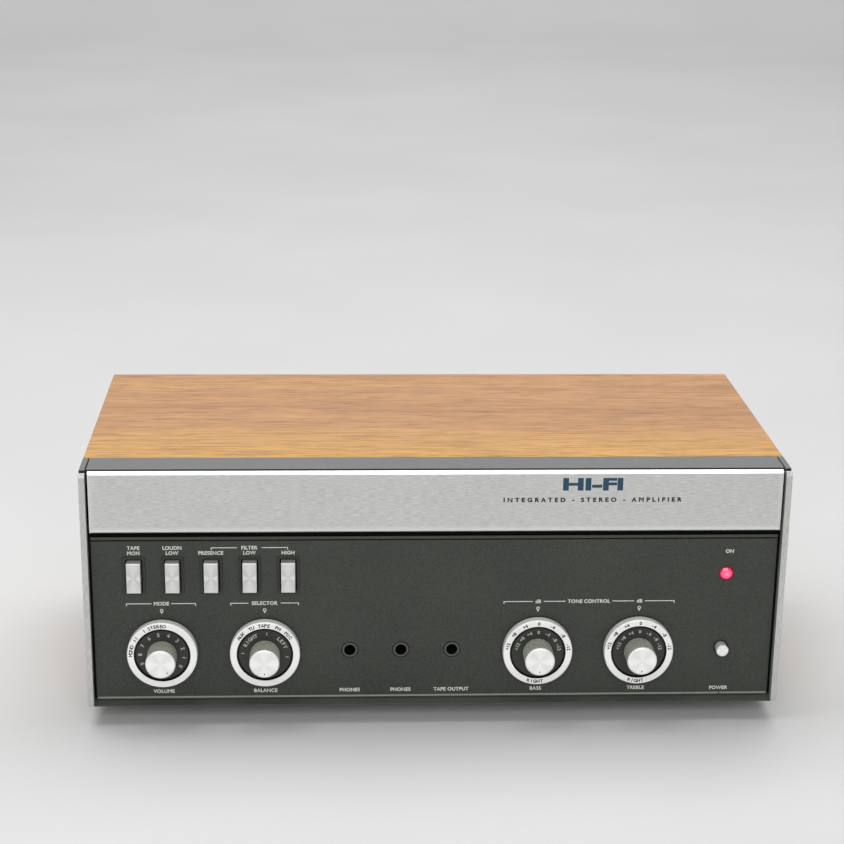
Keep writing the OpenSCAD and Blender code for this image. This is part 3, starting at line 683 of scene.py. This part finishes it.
class Print:
    """Everything that is printed on one body in one ink, as one thin piece."""

    def __init__(self, facing=FRONT):
        self.bm = bmesh.new()
        self.facing = facing

    def add(self, mesh, x, y, z, turn=0.0):
        """Puts a flat mesh on the surface at y. turn is clockwise in degrees, seen from the front."""
        place = Matrix.Translation((x, y, z)) @ self.facing @ Matrix.Rotation(-math.radians(turn), 4, "Z")
        mesh.transform(place)
        self.bm.from_mesh(mesh)
        bpy.data.meshes.remove(mesh)

    def text(self, text, x, y, z, cap=LABEL_CAP, turn=0.0, **style):
        self.add(letters(text, cap, **style), x, y, z, turn)

    def shape(self, points, x, y, z, turn=0.0):
        """A flat polygon of (across, up) points about x and z."""
        flat = bmesh.new()
        flat.faces.new([flat.verts.new((px, pz, 0)) for px, pz in points])
        mesh = bpy.data.meshes.new("shape")
        flat.to_mesh(mesh)
        flat.free()
        self.add(mesh, x, y, z, turn)

    def bar(self, x0, x1, z0, z1, y):
        self.shape([(x0, z0), (x1, z0), (x1, z1), (x0, z1)], 0, y, 0)

    def on_dial(self, text, centre, y, radius, angle, cap, **style):
        """Lettering at a clockwise angle round a dial, with its foot towards the centre."""
        a = math.radians(angle)
        x, z = centre.x + radius * math.sin(a), centre.z + radius * math.cos(a)
        self.text(text, x, y, z, cap=cap, turn=angle, **style)

    def word_on_dial(self, word, centre, y, radius, angle, cap, pitch, **style):
        """A word bent round a dial, one letter at a time, pitch degrees apart."""
        first = angle - (len(word) - 1) / 2 * pitch
        for i, letter in enumerate(word):
            self.on_dial(letter, centre, y, radius, first + i * pitch, cap, **style)

    def tick(self, centre, y, r0, r1, angle, width):
        half = width / 2
        corners = [(-half, r0), (half, r0), (half, r1), (-half, r1)]
        self.shape(corners, centre.x, y, centre.z, angle)

    def disc(self, x, z, r0, r1, y, steps=24):
        """A ring, or a disc where r0 is 0."""
        for i in range(steps):
            a, b = 2 * math.pi * i / steps, 2 * math.pi * (i + 1) / steps
            outer = [(r1 * math.cos(t), r1 * math.sin(t)) for t in (a, b)]
            inner = [(r0 * math.cos(t), r0 * math.sin(t)) for t in (b, a)] if r0 else [(0, 0)]
            self.shape(outer + inner, x, y, z)

    def finish(self, name, body, slot, look_name):
        """Gives the printing its thickness, with its back just under the surface."""
        bm = self.bm
        bmesh.ops.remove_doubles(bm, verts=bm.verts, dist=1e-7)
        bmesh.ops.recalc_face_normals(bm, faces=bm.faces)
        out = -1 if self.facing is FRONT else 1
        flip = [f for f in bm.faces if f.normal.y * out < 0]
        bmesh.ops.reverse_faces(bm, faces=flip)
        raised = bmesh.ops.extrude_face_region(bm, geom=bm.faces[:])
        moved = [g for g in raised["geom"] if isinstance(g, bmesh.types.BMVert)]
        bmesh.ops.translate(bm, verts=moved, vec=(0, out * INK * 1.3, 0))
        bmesh.ops.translate(bm, verts=bm.verts, vec=(0, -out * INK * 0.3, 0))
        bmesh.ops.recalc_face_normals(bm, faces=bm.faces)
        mesh = bpy.data.meshes.new(name)
        bm.to_mesh(mesh)
        bm.free()
        return piece(name, mesh, body, slot, look_name)


def at(height):
    """Z of a height above the underside of the case, given in mm."""
    return case_low + height * MM


panel = Print()
keys = {k: middle(k + "_key").x for k in KEYS}
knobs = {k: middle(k + "_ring") for k in KNOBS}
lamp = middle("pilot_lens")
button = middle("power_button")
jacks = [middle(n) for n in JACKS]

UPPER_ROW, LOWER_ROW, BRACKET_ROW, FOOT_ROW = 98.5, 95.3, 63.6, 7.4
for text, x, row in (
    ("TAPE", keys["tape_monitor"], UPPER_ROW),
    ("MON", keys["tape_monitor"], LOWER_ROW),
    ("LOUDN", keys["loudness"], UPPER_ROW),
    ("LOW", keys["loudness"], LOWER_ROW),
    ("PRESENCE", keys["presence"], LOWER_ROW),
    ("FILTER", keys["low_filter"], UPPER_ROW),
    ("LOW", keys["low_filter"], LOWER_ROW),
    ("HIGH", keys["high_filter"], LOWER_ROW),
    ("MODE", knobs["volume"].x, BRACKET_ROW),
    ("SELECTOR", knobs["balance"].x, BRACKET_ROW),
    ("dB", knobs["bass"].x, BRACKET_ROW),
    ("TONE CONTROL", (knobs["bass"].x + knobs["treble"].x) / 2, BRACKET_ROW),
    ("dB", knobs["treble"].x, BRACKET_ROW),
    ("VOLUME", knobs["volume"].x, FOOT_ROW),
    ("BALANCE", knobs["balance"].x, FOOT_ROW),
    ("PHONES", jacks[0].x, FOOT_ROW),
    ("PHONES", jacks[1].x, FOOT_ROW),
    ("TAPE OUTPUT", jacks[2].x, FOOT_ROW),
    ("BASS", knobs["bass"].x, FOOT_ROW),
    ("TREBLE", knobs["treble"].x, FOOT_ROW),
    ("POWER", button.x, FOOT_ROW - 0.5),
    ("ON", lamp.x + 1.2 * MM, LOWER_ROW - 0.4),
):
    panel.text(text, x, panel_front, at(row), cap=LABEL_CAP, spacing=1.06, weight=LABEL_WEIGHT)

LINE = 0.5 * MM
DROP = 1.7 * MM


def bracket(x0, x1, row, *gaps):
    """A thin line with its ends turned down, broken at the gaps, each given as a middle and a width."""
    top = at(row) + LINE / 2
    start = x0
    for middle_x, width in gaps:
        panel.bar(start, middle_x - width / 2, top - LINE, top, panel_front)
        start = middle_x + width / 2
    panel.bar(start, x1, top - LINE, top, panel_front)
    for x in (x0, x1 - LINE):
        panel.bar(x, x + LINE, top - DROP, top - LINE, panel_front)


bracket(keys["presence"], keys["high_filter"], UPPER_ROW, (keys["low_filter"], 14.5 * MM))
BRACKET_HALF = 20.2 * MM
for knob, extra, gap in (("volume", 0.5 * MM, 11.5 * MM), ("balance", 0.0, 19 * MM)):
    x = knobs[knob].x
    bracket(x - BRACKET_HALF - extra, x + BRACKET_HALF, BRACKET_ROW, (x, gap))
bracket(
    knobs["bass"].x - BRACKET_HALF - 0.4 * MM,
    knobs["treble"].x + BRACKET_HALF + 0.8 * MM,
    BRACKET_ROW,
    (knobs["bass"].x, 6.5 * MM),
    ((knobs["bass"].x + knobs["treble"].x) / 2, 28 * MM),
    (knobs["treble"].x, 6.5 * MM),
)

MARK_HALF = 0.75 * MM
MARK_NECK = -0.55 * MM
MARK_TIP = -2.0 * MM
mark = at(59.0)
for knob in knobs.values():
    panel.disc(knob.x, mark + 0.25 * MM, 0.55 * MM, 1.05 * MM, panel_front)
    arrow = [(-MARK_HALF, MARK_NECK), (0, MARK_TIP), (MARK_HALF, MARK_NECK)]
    panel.shape(arrow, knob.x, panel_front, mark)
panel.finish("panel_lettering", "chassis", "panel_black", "white_ink")

stripe = Print()
low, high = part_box("control_panel")
STRIPE_LOW, STRIPE_HIGH = at(2.95), at(4.05)
STRIPE_MARGIN = 0.5 * MM
stripe.bar(low.x + STRIPE_MARGIN, button.x + 0.2 * MM, STRIPE_LOW, STRIPE_HIGH, panel_front)
stripe.bar(button.x + 0.9 * MM, high.x - STRIPE_MARGIN, STRIPE_LOW, STRIPE_HIGH, panel_front)
stripe.finish("panel_stripe", "chassis", "panel_black", "line_ink")

WORDMARK_ROW, TYPE_LINE_ROW = 138.7, 129.2
wordmark = Print()
wordmark.text(
    "HI-FI", 89.9 * MM, fascia_front, at(WORDMARK_ROW), cap=6.8 * MM, width=35 * MM, weight=0.045
)
wordmark.finish("fascia_wordmark", "chassis", "brushed_aluminium", "blue_ink")
line = Print()
line.text(
    "INTEGRATED - STEREO - AMPLIFIER",
    90 * MM,
    fascia_front,
    at(TYPE_LINE_ROW),
    cap=2.4 * MM,
    width=104 * MM,
    spacing=1.7,
    weight=0.05,
)
line.finish("fascia_line", "chassis", "brushed_aluminium", "black_ink")

RING_TEXT_R = 18.5 * MM
RING_CAP = 1.95 * MM
DIAL_WEIGHT = 0.035
SKIRT_TEXT_R = 12.9 * MM
SKIRT_CAP = 2.1 * MM
RING_WORDS = {
    "volume": [("MONO", -81), ("II", -56), ("I", -33), ("STEREO", -9)],
    "balance": [("AUX", -50), ("TU", -25), ("TAPE", -1), ("PH", 25), ("MIC", 49)],
}
SKIRT_WORDS = {
    "volume": [(str(n), 124 - 26.5 * n) for n in range(10)],
    "balance": [("RIGHT", -43), ("LEFT", 54)],
}
TONE_STEPS = ("+12", "+8", "+4", "0", "-4", "-8", "-12")
RING_STEP = 26  # degrees from one tone step to the next
SKIRT_STEP = 24.4
FOOT_WORD = "RIGHT"
FOOT_WORD_ANGLE = 184  # clockwise from the top, so the word stands upright at the foot of the ring
INDEX_ANGLE = {"volume": 144, "balance": 180, "bass": 180, "treble": 180}

for knob in KNOBS:
    centre = knobs[knob]
    outer, inner = BODY_OF[knob + "_ring"], BODY_OF[knob + "_skirt"]
    ring_y, skirt_y = front_of(knob + "_ring"), front_of(knob + "_skirt")
    dial, numerals = Print(), Print()
    if knob in RING_WORDS:
        for word, angle in RING_WORDS[knob]:
            dial.word_on_dial(word, centre, ring_y, RING_TEXT_R, angle, RING_CAP, 5.6, weight=DIAL_WEIGHT)
        for word, angle in SKIRT_WORDS[knob]:
            numerals.word_on_dial(
                word, centre, skirt_y, SKIRT_TEXT_R, angle, SKIRT_CAP, 9.5, weight=LABEL_WEIGHT
            )
    else:
        for i, word in enumerate(TONE_STEPS):
            steps = i - len(TONE_STEPS) // 2
            angle = 1 + steps * RING_STEP
            dial.word_on_dial(word, centre, ring_y, RING_TEXT_R, angle, RING_CAP, 4.6, weight=DIAL_WEIGHT)
            angle = 1 + steps * SKIRT_STEP
            numerals.word_on_dial(
                word, centre, skirt_y, SKIRT_TEXT_R, angle, SKIRT_CAP * 0.9, 7.2, weight=LABEL_WEIGHT
            )
        for i, letter in enumerate(FOOT_WORD):
            angle = FOOT_WORD_ANGLE - (i - len(FOOT_WORD) // 2) * 6.2
            a = math.radians(angle)
            dial.text(
                letter,
                centre.x + RING_TEXT_R * math.sin(a),
                ring_y,
                centre.z + RING_TEXT_R * math.cos(a),
                cap=RING_CAP,
                turn=angle - 180,
                weight=DIAL_WEIGHT,
            )
    if knob == "balance":
        for angle in (5.5, -86.5, 97.5):
            numerals.tick(centre, skirt_y, 12.2 * MM, 14.0 * MM, angle, 0.45 * MM)
    dial.finish(knob + "_ring_lettering", outer, "turned_aluminium", "black_ink")
    numerals.finish(knob + "_skirt_lettering", inner, "dark_skirt", "dial_ink")
    index = Print()
    cap_face = front_of(knob + "_knob") + 0.12 * MM
    index.tick(centre, cap_face, 6.1 * MM, 7.5 * MM, INDEX_ANGLE[knob], 0.6 * MM)
    index.finish(knob + "_index", inner, "dark_skirt", "black_ink")

# ---- rear lettering ----

rear = Print(REAR)
sockets_low, sockets_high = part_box("input_sockets")
speakers = middle("speaker_sockets")
mains = middle("mains_inlet")
SMALL_CAP, LARGE_CAP = 2.4 * MM, 2.8 * MM
SOCKET_HALF = 6 * MM
for word, row in (("PHONO", 28), ("TUNER", 52), ("AUX", 76), ("TAPE", 100)):
    rear.text(word, sockets_high.x + 12 * MM, rear_face, at(row), cap=SMALL_CAP)
for word, x in (("R", sockets_low.x + SOCKET_HALF), ("L", sockets_high.x - SOCKET_HALF)):
    rear.text(word, x, rear_face, at(111), cap=SMALL_CAP)
rear.text("SPEAKERS", speakers.x, rear_face, at(48), cap=LARGE_CAP, spacing=1.1)
rear.text("MAINS", mains.x, rear_face, at(53), cap=LARGE_CAP, spacing=1.1)
rear.finish("rear_lettering", "chassis", "zinc_sheet", "black_ink")

# ---- floor, light and camera ----


def floor():
    """A pale round floor that curves up into a backdrop on every side."""
    flat, bend, top = 3.4, 1.6, 4.5
    outline = [(0.6, 0.0), (2.0, 0.0)]
    for degrees in range(0, 91, 6):
        t = math.radians(degrees)
        outline.append((flat + bend * math.sin(t), bend - bend * math.cos(t)))
    outline.append((flat + bend, top))
    steps = 96
    bm = bmesh.new()
    hub = bm.verts.new((0, 0, 0))
    rows = []
    for r, z in outline:
        turns = [2 * math.pi * i / steps for i in range(steps)]
        rows.append([bm.verts.new((r * math.cos(t), r * math.sin(t), z)) for t in turns])
    for i in range(steps):
        j = (i + 1) % steps
        bm.faces.new((hub, rows[0][i], rows[0][j]))
        for near, far in zip(rows, rows[1:]):
            bm.faces.new((near[i], far[i], far[j], near[j]))
    for face in bm.faces:
        face.smooth = True
    mesh = bpy.data.meshes.new("studio_floor")
    bm.to_mesh(mesh)
    bm.free()
    look = Look("studio_paper", Roughness=0.9, Specular_IOR_Level=0.1)
    look.set("Base Color", look.ramp(look.noise(look.where(), 3, 2, 0.5), (0.3, 0.60), (0.7, 0.63)))
    mesh.materials.append(look.material)
    made = bpy.data.objects.new("studio_floor", mesh)
    bpy.context.scene.collection.objects.link(made)


floor()


def softbox(name, place, aim, size, power):
    """A rectangular light in the world's metres, turned towards the point aim, with its power in watts."""
    light = bpy.data.lights.new(name, "AREA")
    light.shape = "RECTANGLE"
    light.size, light.size_y = size
    light.energy = power
    made = bpy.data.objects.new(name, light)
    made.location = place
    made.rotation_euler = (Vector(aim) - Vector(place)).to_track_quat("-Z", "Y").to_euler()
    bpy.context.scene.collection.objects.link(made)


softbox("overhead", (-0.1, 0.4, 1.9), (0, 0.1, 0.1), (2.4, 1.6), 40)
softbox("front", (-0.1, -2.3, 1.3), (0, 0, 0.06), (2.4, 1.2), 34)
softbox("backdrop", (0, 2.0, 2.6), (0, 5.0, 1.2), (3.0, 0.8), 55)

world = bpy.data.worlds.new("studio")
world.use_nodes = True
sky = world.node_tree.nodes["Background"]
sky.inputs["Color"].default_value = (0.97, 0.98, 0.97, 1)
sky.inputs["Strength"].default_value = 0.4
bpy.context.scene.world = world
bpy.context.scene.view_settings.view_transform = "Standard"

YAW, PITCH, ROLL = (math.radians(a) for a in (2.90, 18.68, 0.74))
ahead = Vector((math.sin(YAW) * math.cos(PITCH), math.cos(YAW) * math.cos(PITCH), -math.sin(PITCH)))
level = Vector((math.cos(YAW), -math.sin(YAW), 0))
upright = level.cross(ahead)
right = math.cos(ROLL) * level + math.sin(ROLL) * upright
up = -math.sin(ROLL) * level + math.cos(ROLL) * upright
camera = bpy.data.cameras.new("camera")
camera.sensor_width = 36
camera.lens = 85.45
camera.shift_y = 0.0746
camera.clip_end = 30
eye = bpy.data.objects.new("camera", camera)
EYE = (-0.0648, -1.1935, 0.5213)
axes = Matrix((right, up, -ahead)).transposed().to_4x4()
eye.matrix_world = Matrix.Translation(EYE) @ axes
bpy.context.scene.collection.objects.link(eye)
bpy.context.scene.camera = eye
